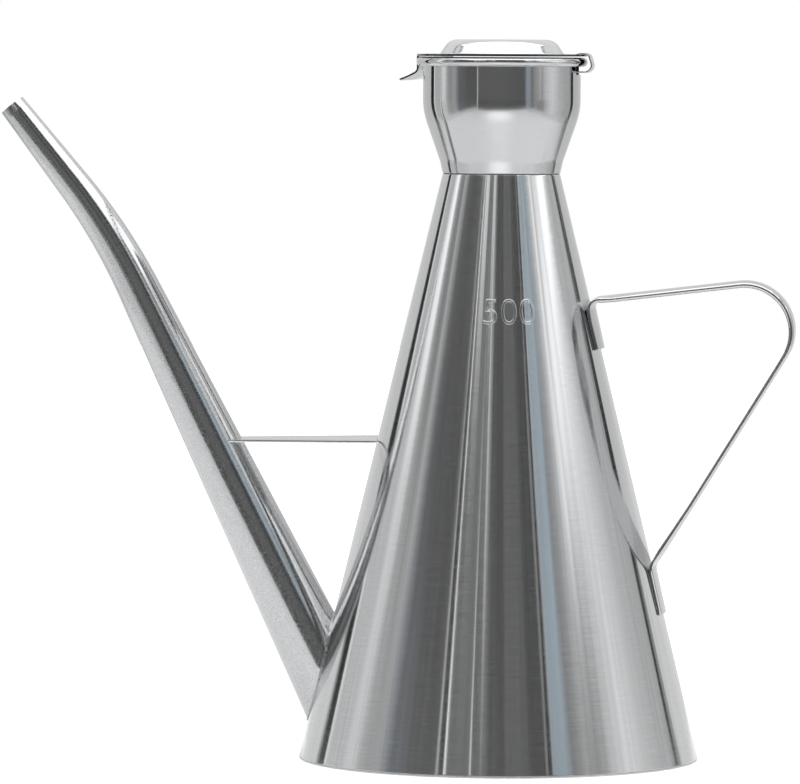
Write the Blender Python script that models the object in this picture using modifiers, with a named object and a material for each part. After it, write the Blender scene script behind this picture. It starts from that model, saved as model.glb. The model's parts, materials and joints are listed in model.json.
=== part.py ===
"""A conical oil cruet of stainless steel sheet, modelled piece by piece.

The body is a rolled cone closed by a flat base disc.  A pressed cup with a
curled rim is its mouth, and a domed lid swings on that rim by a curled tongue
that passes through a slot in the cup.  A tapered spout leaves low on one side
and is tied to the cone by a brace.  A strip handle stands on the other side.

Metres, +Z up.  The cone's axis is the Z axis, the base rests on Z = 0, the
spout points to -X and the handle to +X.
"""

import math

import bmesh
import bpy
from mathutils import Matrix, Vector

MM = 0.001

# Fits
GAP = 0.3 * MM
OVERRUN = 4.0 * MM
MERGE = 0.01 * MM

# Base disc
BASE_RADIUS = 50.0 * MM
BASE_SHEET = 0.6 * MM
BASE_EDGE_ROUND = 0.15 * MM

# Cone, from the base disc up to the seam at the neck
CONE_HEIGHT = 145.5 * MM
CONE_SHEET = 0.6 * MM
NECK_RADIUS = 14.72 * MM

# Mouth cup: its outside from the neck seam up to the rim
CUP_SHEET = 0.6 * MM
CUP_RADIUS = 19.7 * MM
CUP_NECK_RISE = 1.8 * MM
CUP_FLARE_RISE = 13.7 * MM
CUP_WALL_RISE = 12.3 * MM
CUP_NECK_FILLET = 10.0 * MM
CUP_SHOULDER_FILLET = 17.5 * MM

# Rim: the cup's sheet curled outwards into a hollow bead
CURL_RADIUS = 0.85 * MM
CURL_SWEEP = math.radians(275)

# Lid: flange, pressed dome, thumb tab at the front and hinge tongue at the back
LID_SHEET = 0.5 * MM
FLANGE_INSET = 0.1 * MM
DOME_FOOT_RADIUS = 15.4 * MM
DOME_TOP_RADIUS = 13.0 * MM
DOME_HEIGHT = 3.6 * MM
DOME_CROWN = 0.1 * MM
DOME_TOP_FILLET = 3.4 * MM
DOME_FOOT_FILLET = 0.8 * MM
TAB_WIDTH = 14.0 * MM
TAB_DROP = 4.0 * MM
TAB_FLARE_OUT = 3.4 * MM
TAB_FLARE_DROP = 2.2 * MM
TAB_ROOT = 1.5 * MM
TAB_SHEET = 0.46 * MM
TAB_TOP_FILLET = 0.6 * MM
TAB_BEND_FILLET = 1.5 * MM
TAB_ROUNDING_SHARE = 0.85

# Hinge tongue: its loop round the rim's centre, at the back of the cup
TONGUE_WIDTH = 10.0 * MM
TONGUE_SHEET = 0.42 * MM
TONGUE_PLAY = 1.1 * MM
TONGUE_ROOT = 4.2 * MM
TONGUE_STEP = 2.2 * MM
TONGUE_HUMP = 0.45 * MM
TONGUE_LEAN = 0.8 * MM
TONGUE_BELLY = 0.6 * MM
TONGUE_STEP_FILLET = 1.5 * MM
TONGUE_TOP_FILLET = 1.3 * MM
TONGUE_UNDER_FILLET = 1.75 * MM
TONGUE_TAIL = 0.35 * MM
SLOT_SIDE_PLAY = 0.4 * MM
SLOT_END_PLAY = 0.45 * MM

# Spout, measured along its axis from the tip
SPOUT_TIP_X = 123.5 * MM
SPOUT_TIP_Z = 163.1 * MM
SPOUT_BEND_X = 98.2 * MM
SPOUT_BEND_Z = 131.1 * MM
SPOUT_BEND_RADIUS = 150.0 * MM
SPOUT_ROOT_Z = 23.0 * MM
SPOUT_TIP_RADIUS = 3.35 * MM
SPOUT_ROOT_RADIUS = 9.0 * MM
SPOUT_WALL = 0.6 * MM

# Brace between spout and cone, wider at the cone
BRACE_SHEET = 0.6 * MM
BRACE_Z = 79.4 * MM
BRACE_RISE = 0.5 * MM
BRACE_SPOUT_WIDTH = 10.0 * MM
BRACE_CONE_WIDTH = 21.0 * MM

# Handle: a strip, its corners given where its straight runs would meet
HANDLE_SHEET = 0.8 * MM
HANDLE_WIDTH = 15.0 * MM
HANDLE_UPPER_END_Z = 103.1 * MM
HANDLE_UPPER_BEND_Z = 115.8 * MM
HANDLE_PEAK_X = 84.95 * MM
HANDLE_PEAK_Z = 123.03 * MM
HANDLE_LOWER_BEND_Z = 49.2 * MM
HANDLE_LOWER_END_Z = 37.1 * MM
HANDLE_UPPER_FILLET = 2.4 * MM
HANDLE_PEAK_FILLET = 12.16 * MM
HANDLE_LOWER_FILLET = 3.0 * MM
HANDLE_TOP_CROWN = 1.1 * MM
HANDLE_LOW_CROWN = 0.4 * MM
HANDLE_HEEL = 0.3 * MM
HANDLE_EDGE_ROUND = 0.2 * MM

# Facets, and the part of a straight run that its fillets may take
TURNED_STEPS = 60
FILLET_ROOM_SHARE = 0.98
SPOUT_SIDES_RESOLUTION = 10

# Places worked out from the sizes
CONE_FOOT_Z = BASE_SHEET + GAP
CONE_TOP_Z = CONE_FOOT_Z + CONE_HEIGHT
CUP_FOOT_Z = CONE_TOP_Z + GAP
RIM_Z = CUP_FOOT_Z + CUP_NECK_RISE + CUP_FLARE_RISE + CUP_WALL_RISE
CUP_MID_RADIUS = CUP_RADIUS - CUP_SHEET / 2
RIM_CENTRE_RADIUS = CUP_MID_RADIUS + CURL_RADIUS
BEAD_RADIUS = CURL_RADIUS + CUP_SHEET / 2
FLANGE_Z = RIM_Z + BEAD_RADIUS + GAP + LID_SHEET / 2
FLANGE_RADIUS = RIM_CENTRE_RADIUS + BEAD_RADIUS - FLANGE_INSET
HINGE = Vector((RIM_CENTRE_RADIUS, 0, RIM_Z))
TONGUE_LOOP = BEAD_RADIUS + TONGUE_PLAY + TONGUE_SHEET / 2
CONE_SLOPE = (BASE_RADIUS - NECK_RADIUS) / CONE_HEIGHT
CONE_LEAN = math.atan(CONE_SLOPE)
HANDLE_SEAT = GAP + HANDLE_SHEET / 2


def cone_radius(z):
    """The cone's outer radius at a height."""
    return BASE_RADIUS - CONE_SLOPE * (z - CONE_FOOT_Z)


# Points of outlines

def share_between(low, high, value):
    """How far a value has come from low to high, from 0 to 1."""
    return max(0, min(1, (value - low) / (high - low)))


def mix(start, end, share):
    return start + (end - start) * share


def fillet(before, corner, after, radius, room, steps):
    """Points of an arc that rounds a corner, its radius limited by its room."""
    to_before = (before - corner).normalized()
    to_after = (after - corner).normalized()
    half = math.acos(max(-1, min(1, to_before.dot(to_after)))) / 2
    radius = min(radius, room * math.tan(half))
    start = corner + to_before * (radius / math.tan(half))
    centre = corner + (to_before + to_after).normalized() * (radius / math.sin(half))
    arm = start - centre
    turn = math.pi - 2 * half
    if to_before.x * to_after.y - to_before.y * to_after.x < 0:
        turn = -turn
    points = []
    for i in range(steps + 1):
        angle = -turn * i / steps
        c, s = math.cos(angle), math.sin(angle)
        points.append(centre + Vector((arm.x * c - arm.y * s, arm.x * s + arm.y * c)))
    return points


def rounded_path(corners, radii, steps):
    """A path through 2D corners, each inner one rounded by its own radius."""
    runs = [(end - start).length for start, end in zip(corners, corners[1:])]
    rooms = [runs[0]] + [run / 2 for run in runs[1:-1]] + [runs[-1]]
    points = [corners[0]]
    for i, (radius, count) in enumerate(zip(radii, steps), start=1):
        room = min(rooms[i - 1], rooms[i]) * FILLET_ROOM_SHARE
        points += fillet(corners[i - 1], corners[i], corners[i + 1], radius, room, count)
    return points + [corners[-1]]


def split_runs(points, longest):
    """The same path with its long straight runs cut into even pieces."""
    result = [points[0]]
    for start, end in zip(points, points[1:]):
        pieces = max(1, math.ceil((end - start).length / longest))
        result += [start.lerp(end, i / pieces) for i in range(1, pieces + 1)]
    return result


def path_normals(points):
    """Unit vectors to the left of a 2D path at each of its points."""
    normals = []
    for i in range(len(points)):
        along = points[min(i + 1, len(points) - 1)] - points[max(i - 1, 0)]
        normals.append(Vector((-along.y, along.x)).normalized())
    return normals


# Objects

def new_collection(name):
    collection = bpy.data.collections.new(name)
    bpy.context.scene.collection.children.link(collection)
    return collection


def steel(name, grey, roughness):
    """A plain stainless steel for one piece."""
    material = bpy.data.materials.new(name)
    material.use_nodes = True
    surface = material.node_tree.nodes["Principled BSDF"]
    surface.inputs["Base Color"].default_value = (grey, grey, grey * 1.01, 1)
    surface.inputs["Metallic"].default_value = 1
    surface.inputs["Roughness"].default_value = roughness
    return material


def add_object(name, data, collection, material=None):
    obj = bpy.data.objects.new(name, data)
    collection.objects.link(obj)
    if material:
        data.materials.append(material)
    return obj


def as_tool(obj):
    """Mark an object that only cuts or joins, and hide it from renders."""
    obj.hide_render = True
    obj.display_type = "WIRE"
    return obj


def turned(name, profile, closed, collection, material=None):
    """A (radius, height) profile turned about Z, running down its outer side."""
    count = len(profile)
    edges = [(i, i + 1) for i in range(count - 1)]
    if closed:
        edges.append((count - 1, 0))
    mesh = bpy.data.meshes.new(name)
    mesh.from_pydata([(p[0], 0, p[1]) for p in profile], edges, [])
    obj = add_object(name, mesh, collection, material)
    turn = obj.modifiers.new("Turn", "SCREW")
    turn.steps = turn.render_steps = TURNED_STEPS
    turn.use_merge_vertices = True
    turn.merge_threshold = MERGE
    turn.use_normal_calculate = False
    return obj


def thicken(obj, thickness):
    """Give an open surface its sheet's thickness, half to each side."""
    shell = obj.modifiers.new("Sheet", "SOLIDIFY")
    shell.thickness = thickness
    shell.offset = 0
    shell.use_even_offset = True


def ribbon(name, path, width, collection):
    """A strip along a path in the XZ plane, still without thickness."""
    curve = bpy.data.curves.new(name, "CURVE")
    curve.dimensions = "3D"
    curve.extrude = width / 2
    spline = curve.splines.new("POLY")
    spline.points.add(len(path) - 1)
    for point, (x, z) in zip(spline.points, path):
        point.co = (x, z, 0, 1)
    strip = add_object(name, curve, collection)
    strip.rotation_euler = (math.pi / 2, 0, 0)
    return baked(strip)


def lofted(name, rows, collection):
    """An open surface through rows of points, for sections that change."""
    mesh = bpy.data.meshes.new(name)
    width = len(rows[0])
    faces = []
    for i in range(len(rows) - 1):
        for j in range(width - 1):
            a = i * width + j
            faces.append((a, a + 1, a + width + 1, a + width))
    mesh.from_pydata([point for row in rows for point in row], [], faces)
    return add_object(name, mesh, collection)


def baked(obj):
    """Replace an object's data by its evaluated mesh, in world space."""
    bpy.context.view_layer.update()
    evaluated = obj.evaluated_get(bpy.context.evaluated_depsgraph_get())
    mesh = bpy.data.meshes.new_from_object(evaluated)
    mesh.transform(obj.matrix_world)
    work = bmesh.new()
    work.from_mesh(mesh)
    bmesh.ops.remove_doubles(work, verts=work.verts, dist=MERGE)
    work.to_mesh(mesh)
    work.free()
    name, collection, material = obj.name, obj.users_collection[0], obj.active_material
    bpy.data.objects.remove(obj)
    result = add_object(name, mesh, collection)
    result.name = name
    if material and not mesh.materials:
        mesh.materials.append(material)
    return result


def combine(obj, tool, operation):
    """Cut a tool from an object, or join it on, with a live Boolean."""
    boolean = obj.modifiers.new(tool.name, "BOOLEAN")
    boolean.operation = operation
    boolean.object = tool
    boolean.solver = "EXACT"


def shade_round(obj):
    """Smooth shading with sharp edges kept."""
    obj.data.shade_smooth()
    obj.data.set_sharp_from_angle(angle=math.radians(35))


def set_origin(obj, point):
    """Move an object's origin to a point without moving its mesh."""
    obj.data.transform(Matrix.Translation(-point))
    obj.location = point


# Pieces

def make_base_disc(parts):
    """The flat disc that closes the cone; the cruet rests on its underside."""
    bpy.ops.mesh.primitive_cylinder_add(
        vertices=TURNED_STEPS,
        radius=BASE_RADIUS,
        depth=BASE_SHEET,
        location=(0, 0, BASE_SHEET / 2),
    )
    disc = bpy.context.object
    disc.name = "base_disc"
    for collection in disc.users_collection:
        collection.objects.unlink(disc)
    parts.objects.link(disc)
    disc.data.materials.append(steel("base_disc", 0.55, 0.3))
    edge = disc.modifiers.new("Edge", "BEVEL")
    edge.width = BASE_EDGE_ROUND
    edge.segments = 2
    return disc


def make_body_cone(parts):
    """The rolled cone, open at the neck and at the base."""
    wall = CONE_SHEET / math.cos(CONE_LEAN)
    profile = [
        (NECK_RADIUS, CONE_TOP_Z),
        (BASE_RADIUS, CONE_FOOT_Z),
        (BASE_RADIUS - wall, CONE_FOOT_Z),
        (NECK_RADIUS - wall, CONE_TOP_Z),
    ]
    return turned("body_cone", profile, True, parts, steel("body_cone", 0.6, 0.22))


def rim_curl():
    """The middle of the curled rim, from its free end up and over to the wall."""
    steps = 9
    points = []
    for i in range(steps):
        angle = math.pi - CURL_SWEEP * (1 - i / steps)
        across = RIM_CENTRE_RADIUS + CURL_RADIUS * math.cos(angle)
        points.append(Vector((across, RIM_Z + CURL_RADIUS * math.sin(angle))))
    return points


def make_mouth_cup(parts):
    """The pressed cup: neck, flare, straight wall and curled rim in one sheet."""
    neck = NECK_RADIUS - CUP_SHEET / 2
    flare_foot = CUP_FOOT_Z + CUP_NECK_RISE
    corners = [
        Vector((CUP_MID_RADIUS, RIM_Z)),
        Vector((CUP_MID_RADIUS, flare_foot + CUP_FLARE_RISE)),
        Vector((neck, flare_foot)),
        Vector((neck, CUP_FOOT_Z)),
    ]
    wall = rounded_path(corners, (CUP_SHOULDER_FILLET, CUP_NECK_FILLET), (4, 3))
    cup = turned("mouth_cup", rim_curl() + wall, False, parts, steel("mouth_cup", 0.6, 0.18))
    thicken(cup, CUP_SHEET)
    return cup


def make_lid_disc(parts):
    """The lid's flange and dome."""
    dome_z = FLANGE_Z + DOME_HEIGHT
    corners = [
        Vector((0, dome_z + DOME_CROWN)),
        Vector((DOME_TOP_RADIUS, dome_z)),
        Vector((DOME_FOOT_RADIUS, FLANGE_Z)),
        Vector((FLANGE_RADIUS, FLANGE_Z)),
    ]
    profile = rounded_path(corners, (DOME_TOP_FILLET, DOME_FOOT_FILLET), (4, 2))
    disc = turned("lid", profile, False, parts, steel("lid", 0.62, 0.12))
    thicken(disc, LID_SHEET)
    return disc


def make_lid_tab(tools):
    """The thumb tab: a curved lip over the rim's front that flares outwards."""
    stand = RIM_CENTRE_RADIUS + BEAD_RADIUS + GAP + TAB_SHEET / 2
    bend = FLANGE_Z - TAB_DROP
    tip = bend - TAB_FLARE_DROP
    corners = [
        Vector((FLANGE_RADIUS - TAB_ROOT, FLANGE_Z)),
        Vector((stand, FLANGE_Z)),
        Vector((stand, bend)),
        Vector((stand + TAB_FLARE_OUT, tip)),
    ]
    path = rounded_path(corners, (TAB_TOP_FILLET, TAB_BEND_FILLET), (2, 2))
    path = split_runs(path, TAB_FLARE_OUT / 3)
    half = TAB_WIDTH / 2 / stand
    across = 8
    rows = []
    for place in path:
        flare = TAB_ROUNDING_SHARE * share_between(bend, tip, place.y)
        width = half * math.sqrt(1 - flare * flare)
        row = []
        for j in range(across + 1):
            angle = width * (2 * j / across - 1)
            row.append((-place.x * math.cos(angle), place.x * math.sin(angle), place.y))
        rows.append(row)
    tab = as_tool(lofted("lid_tab", rows, tools))
    thicken(tab, TAB_SHEET)
    return tab


def make_lid_tongue(tools):
    """The hinge tongue: over the rim, loosely round it and into the slot."""
    top = FLANGE_Z - RIM_Z
    hump = top + TONGUE_HUMP
    corners = [
        Vector((-TONGUE_ROOT, top)),
        Vector((-TONGUE_STEP, top)),
        Vector((-TONGUE_HUMP, hump)),
        Vector((TONGUE_LOOP - TONGUE_LEAN, hump)),
        Vector((TONGUE_LOOP + TONGUE_BELLY, -TONGUE_LOOP)),
        Vector((-BEAD_RADIUS - TONGUE_TAIL, -TONGUE_LOOP)),
    ]
    radii = (TONGUE_STEP_FILLET, TONGUE_STEP_FILLET, TONGUE_TOP_FILLET, TONGUE_UNDER_FILLET)
    path = rounded_path(corners, radii, (1, 1, 4, 6))
    path = [place + Vector((HINGE.x, HINGE.z)) for place in path]
    tongue = as_tool(ribbon("lid_tongue", path, TONGUE_WIDTH, tools))
    thicken(tongue, TONGUE_SHEET)
    return tongue


def cut_hinge_slot(cup, tools):
    """The slot under the rim at the back, where the tongue's tail swings in."""
    top = RIM_Z - BEAD_RADIUS
    bottom = RIM_Z - TONGUE_LOOP - TONGUE_SHEET / 2 - SLOT_END_PLAY
    bpy.ops.mesh.primitive_cube_add(size=1, location=(CUP_MID_RADIUS, 0, (top + bottom) / 2))
    slot = as_tool(bpy.context.object)
    slot.name = "hinge_slot"
    slot.scale = (CUP_SHEET + OVERRUN, TONGUE_WIDTH + 2 * SLOT_SIDE_PLAY, top - bottom)
    for collection in slot.users_collection:
        collection.objects.unlink(slot)
    tools.objects.link(slot)
    combine(cup, slot, "DIFFERENCE")


def spout_corners():
    """The spout's tip, the corner of its bend, and where it meets the cone."""
    return [
        Vector((-SPOUT_TIP_X, SPOUT_TIP_Z)),
        Vector((-SPOUT_BEND_X, SPOUT_BEND_Z)),
        Vector((-cone_radius(SPOUT_ROOT_Z), SPOUT_ROOT_Z)),
    ]


def spout_run_in():
    """How far past the cone's face the spout's axis has its whole end inside."""
    tip, bend, root = spout_corners()
    lean = math.atan2(root.x - bend.x, bend.y - root.y)
    return SPOUT_ROOT_RADIUS / math.tan(lean + CONE_LEAN) + OVERRUN


def spout_axis(before_tip, past_root):
    """The spout's axis from its tip down into the cone, in the XZ plane."""
    tip, bend, root = spout_corners()
    tip += (tip - bend).normalized() * before_tip
    root += (root - bend).normalized() * past_root
    return rounded_path([tip, bend, root], [SPOUT_BEND_RADIUS], [6])


def make_tube(name, before_tip, past_root, offset, collection):
    """A solid tapered tube along the spout, grown or shrunk by an offset."""
    axis = spout_axis(before_tip, past_root)
    run = (axis[1] - axis[0]).length - before_tip
    lengths = [-before_tip, run]
    for start, end in zip(axis[1:], axis[2:]):
        lengths.append(lengths[-1] + (end - start).length)
    full = lengths[-1] - past_root
    taper = (SPOUT_ROOT_RADIUS - SPOUT_TIP_RADIUS) / full
    curve = bpy.data.curves.new(name, "CURVE")
    curve.dimensions = "3D"
    curve.bevel_depth = SPOUT_ROOT_RADIUS
    curve.bevel_resolution = SPOUT_SIDES_RESOLUTION
    curve.use_fill_caps = True
    spline = curve.splines.new("POLY")
    spline.points.add(len(axis) - 1)
    for point, place, length in zip(spline.points, axis, lengths):
        point.co = (place.x, 0, place.y, 1)
        point.radius = (SPOUT_TIP_RADIUS + taper * length + offset) / SPOUT_ROOT_RADIUS
    return baked(add_object(name, curve, collection))


def make_cone_tool(tools):
    """The cone as a solid, grown by the gap, that trims what stands on it."""
    grown = GAP / math.cos(CONE_LEAN)
    top, bottom = CONE_TOP_Z, -OVERRUN
    profile = [
        (0, top),
        (cone_radius(top) + grown, top),
        (cone_radius(bottom) + grown, bottom),
        (0, bottom),
    ]
    return as_tool(turned("cone_solid", profile, False, tools))


def make_spout(parts, tools, cone, cone_tool):
    """The spout, its bore, and the hole that it opens in the cone."""
    run_in = spout_run_in()
    spout = make_tube("spout", 0, run_in, 0, parts)
    spout.data.materials.append(steel("spout", 0.6, 0.2))
    bore = as_tool(make_tube("spout_bore", OVERRUN, run_in + OVERRUN, -SPOUT_WALL, tools))
    combine(cone, bore, "DIFFERENCE")
    combine(spout, bore, "DIFFERENCE")
    combine(spout, cone_tool, "DIFFERENCE")
    return spout


def make_brace(parts, tools, cone_tool):
    """The flat brace, its ends cut to the spout and to the cone."""
    tip, bend, root = spout_corners()
    spout_side = bend.lerp(root, share_between(bend.y, root.y, BRACE_Z)).x
    length = BRACE_CONE_WIDTH / 2 - cone_radius(BRACE_Z) - spout_side
    curve = bpy.data.curves.new("spout_brace", "CURVE")
    curve.dimensions = "2D"
    curve.fill_mode = "BOTH"
    curve.extrude = BRACE_SHEET / 2
    spline = curve.splines.new("POLY")
    spline.points.add(3)
    half_spout, half_cone = BRACE_SPOUT_WIDTH / 2, BRACE_CONE_WIDTH / 2
    outline = [(0, -half_spout), (length, -half_cone), (length, half_cone), (0, half_spout)]
    for point, (x, y) in zip(spline.points, outline):
        point.co = (x, y, 0, 1)
    spline.use_cyclic_u = True
    brace = add_object("spout_brace", curve, parts)
    brace.location = (spout_side, 0, BRACE_Z)
    brace.rotation_euler = (0, -math.atan(BRACE_RISE / length), 0)
    brace = baked(brace)
    brace.data.materials.append(steel("spout_brace", 0.6, 0.2))
    spout_tool = as_tool(make_tube("spout_solid", 0, 0, GAP, tools))
    combine(brace, spout_tool, "DIFFERENCE")
    combine(brace, cone_tool, "DIFFERENCE")
    return brace


def handle_corners():
    """The handle's corners in the XZ plane, on the middle of its strip."""

    def on_cone(z, lift):
        return Vector((cone_radius(z) + lift / math.cos(CONE_LEAN), z))

    return [
        on_cone(HANDLE_UPPER_END_Z, HANDLE_SEAT),
        on_cone(HANDLE_UPPER_BEND_Z, HANDLE_SEAT + HANDLE_HEEL),
        Vector((HANDLE_PEAK_X, HANDLE_PEAK_Z)),
        on_cone(HANDLE_LOWER_BEND_Z, HANDLE_SEAT),
        on_cone(HANDLE_LOWER_END_Z, HANDLE_SEAT),
    ]


def foot_bow(z, side):
    """How far a foot's side bends back to lie round the cone at a height."""
    radius = cone_radius(z) + HANDLE_SEAT
    return (radius - math.sqrt(radius * radius - side * side)) * math.cos(CONE_LEAN)


def handle_bow(place, side, corners):
    """How far the strip's side drops from its middle; on the upper foot it rises."""
    end, upper, peak, lower = corners[:4]
    hollow = (2 * side / HANDLE_WIDTH) ** 2
    if place.y <= lower.y:
        return foot_bow(place.y, side)
    high = peak.y - HANDLE_PEAK_FILLET / 2
    low = peak.y - 2 * HANDLE_PEAK_FILLET
    crown = mix(HANDLE_LOW_CROWN, HANDLE_TOP_CROWN, share_between(low, high, place.y)) * hollow
    settled = share_between(lower.y, lower.y + HANDLE_WIDTH, place.y)
    crown = mix(foot_bow(lower.y, side), crown, settled)
    if place.y < end.y:
        return crown
    heel = HANDLE_HEEL * hollow * share_between(end.y, upper.y, place.y)
    over_bend = (peak - upper).normalized() - (end - upper).normalized()
    past_bend = (place - upper).dot(over_bend.normalized())
    on_run = share_between(-HANDLE_UPPER_FILLET, HANDLE_UPPER_FILLET, past_bend)
    return mix(-foot_bow(place.y, side) - heel, crown, on_run)


def make_handle(parts):
    """The strip handle: feet bent round the cone, a crowned grip between them."""
    corners = handle_corners()
    radii = (HANDLE_UPPER_FILLET, HANDLE_PEAK_FILLET, HANDLE_LOWER_FILLET)
    path = split_runs(rounded_path(corners, radii, (5, 14, 4)), HANDLE_WIDTH)
    across = 6
    rows = []
    for place, outward in zip(path, path_normals(path)):
        row = []
        for j in range(across + 1):
            side = HANDLE_WIDTH * (j / across - 0.5)
            spot = place - outward * handle_bow(place, side, corners)
            row.append((spot.x, side, spot.y))
        rows.append(row)
    handle = lofted("handle", rows, parts)
    handle.data.materials.append(steel("handle", 0.62, 0.15))
    thicken(handle, HANDLE_SHEET)
    edge = handle.modifiers.new("Edge", "BEVEL")
    edge.width = HANDLE_EDGE_ROUND
    edge.segments = 1
    edge.limit_method = "ANGLE"
    edge.angle_limit = math.radians(60)
    return handle


def make_lid(parts, tools):
    """The lid in one sheet, its origin on the hinge's axis."""
    lid = make_lid_disc(parts)
    combine(lid, make_lid_tab(tools), "UNION")
    combine(lid, make_lid_tongue(tools), "UNION")
    lid = baked(lid)
    set_origin(lid, HINGE)
    return lid


def clear_scene():
    for obj in list(bpy.data.objects):
        bpy.data.objects.remove(obj)


def main():
    clear_scene()
    parts = new_collection("oil_cruet")
    tools = new_collection("oil_cruet_tools")
    cone_tool = make_cone_tool(tools)
    make_base_disc(parts)
    cone = make_body_cone(parts)
    cup = make_mouth_cup(parts)
    cut_hinge_slot(cup, tools)
    make_spout(parts, tools, cone, cone_tool)
    make_brace(parts, tools, cone_tool)
    make_handle(parts)
    make_lid(parts, tools)
    for obj in parts.objects:
        shade_round(obj)


main()
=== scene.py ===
"""The looks of an oil cruet of stainless steel sheet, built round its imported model.

Each piece is drawn again as smooth sheet metal in the place of its node, and the
welds and the raised capacity mark are added.  Metres, +Z up.  The cone's axis is
the Z axis, the base rests on Z = 0, the spout points to -X, the handle to +X.
"""

import json
import math

import bpy
from bpy.props import FloatProperty, FloatVectorProperty, PointerProperty, StringProperty
from mathutils import Matrix, Vector


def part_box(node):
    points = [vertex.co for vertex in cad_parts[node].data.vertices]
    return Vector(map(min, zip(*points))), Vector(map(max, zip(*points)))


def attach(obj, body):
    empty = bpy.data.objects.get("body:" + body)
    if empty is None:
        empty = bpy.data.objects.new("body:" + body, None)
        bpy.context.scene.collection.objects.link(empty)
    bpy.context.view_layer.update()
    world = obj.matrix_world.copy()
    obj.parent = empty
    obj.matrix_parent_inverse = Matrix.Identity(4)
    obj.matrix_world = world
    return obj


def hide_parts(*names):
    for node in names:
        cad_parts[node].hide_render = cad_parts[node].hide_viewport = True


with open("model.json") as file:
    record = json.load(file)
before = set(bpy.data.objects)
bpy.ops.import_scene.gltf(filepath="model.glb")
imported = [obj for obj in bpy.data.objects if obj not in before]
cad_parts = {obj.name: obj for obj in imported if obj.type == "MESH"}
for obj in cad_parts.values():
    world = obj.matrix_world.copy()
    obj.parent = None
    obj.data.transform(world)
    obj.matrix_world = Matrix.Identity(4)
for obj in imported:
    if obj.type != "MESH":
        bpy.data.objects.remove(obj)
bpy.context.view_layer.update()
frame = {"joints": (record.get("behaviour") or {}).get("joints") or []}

bl_info = {
    "name": "Oil Cruet",
    "version": (1, 0, 0),
    "blender": (4, 5, 0),
    "location": "View3D > Sidebar > Oil Cruet",
    "description": "Draws a steel oil cruet and the light tent that it stands in",
    "category": "Add Mesh",
}

MM = 0.001

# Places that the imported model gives
BASE_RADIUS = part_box("base_disc")[1].x
CONE_FOOT_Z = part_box("body_cone")[0].z
CONE_TOP_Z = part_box("body_cone")[1].z
CUP_FOOT_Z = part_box("mouth_cup")[0].z
HINGE = Vector(frame["joints"][0]["pos_m"])

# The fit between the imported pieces, and how fine a drawing is
GAP = 0.3 * MM
WELD = 0.001 * MM
TURNS = 192
HOLD = 0.25 * MM

# The spout's axis, and the brace and the mark on it and on the cone
SPOUT_TIP = Vector((-123.5 * MM, 163.1 * MM))
SPOUT_BEND = Vector((-98.2 * MM, 131.1 * MM))
SPOUT_BEND_RADIUS = 150 * MM
SPOUT_ROOT_Z = 23 * MM
BRACE_Z = 79.4 * MM
BRACE_RISE = 0.5 * MM
BRACE_WIDTHS = (10 * MM, 21 * MM)
BRACE_TURN = math.radians(1.5)
BRACE_STEPS = 24
MARK_Z = 112.5 * MM
MARK_TURN = math.radians(5.1)
CAP_SHARE = 0.7

# The handle's peak, how it is rounded, and its rolled edges
HANDLE_PEAK = (84.8 * MM, 122.88 * MM)
PEAK_ROUND = 12.16 * MM
ROLLED_EDGE = 0.55 * MM
PRESSED_SHARE = 0.67

# Where the camera stands, from the axis of the cone
CAMERA_DISTANCE = 1.643
CAMERA_HEIGHT = 0.171
CAMERA_YAW = math.radians(4.3)
CAMERA_PAN = math.radians(0.8757)
CAMERA_TILT = math.radians(2.7595)
CAMERA_ROLL = math.radians(-0.262)
LENS = 295.47
SENSOR = 36.0


# Sizes and colours

def linear(code):
    """A linear colour from an sRGB hex code."""
    parts = []
    for i in (0, 2, 4):
        value = int(code[i:i + 2], 16) / 255
        parts.append(value / 12.92 if value <= 0.04045 else ((value + 0.055) / 1.055) ** 2.4)
    return (*parts, 1)


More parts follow.
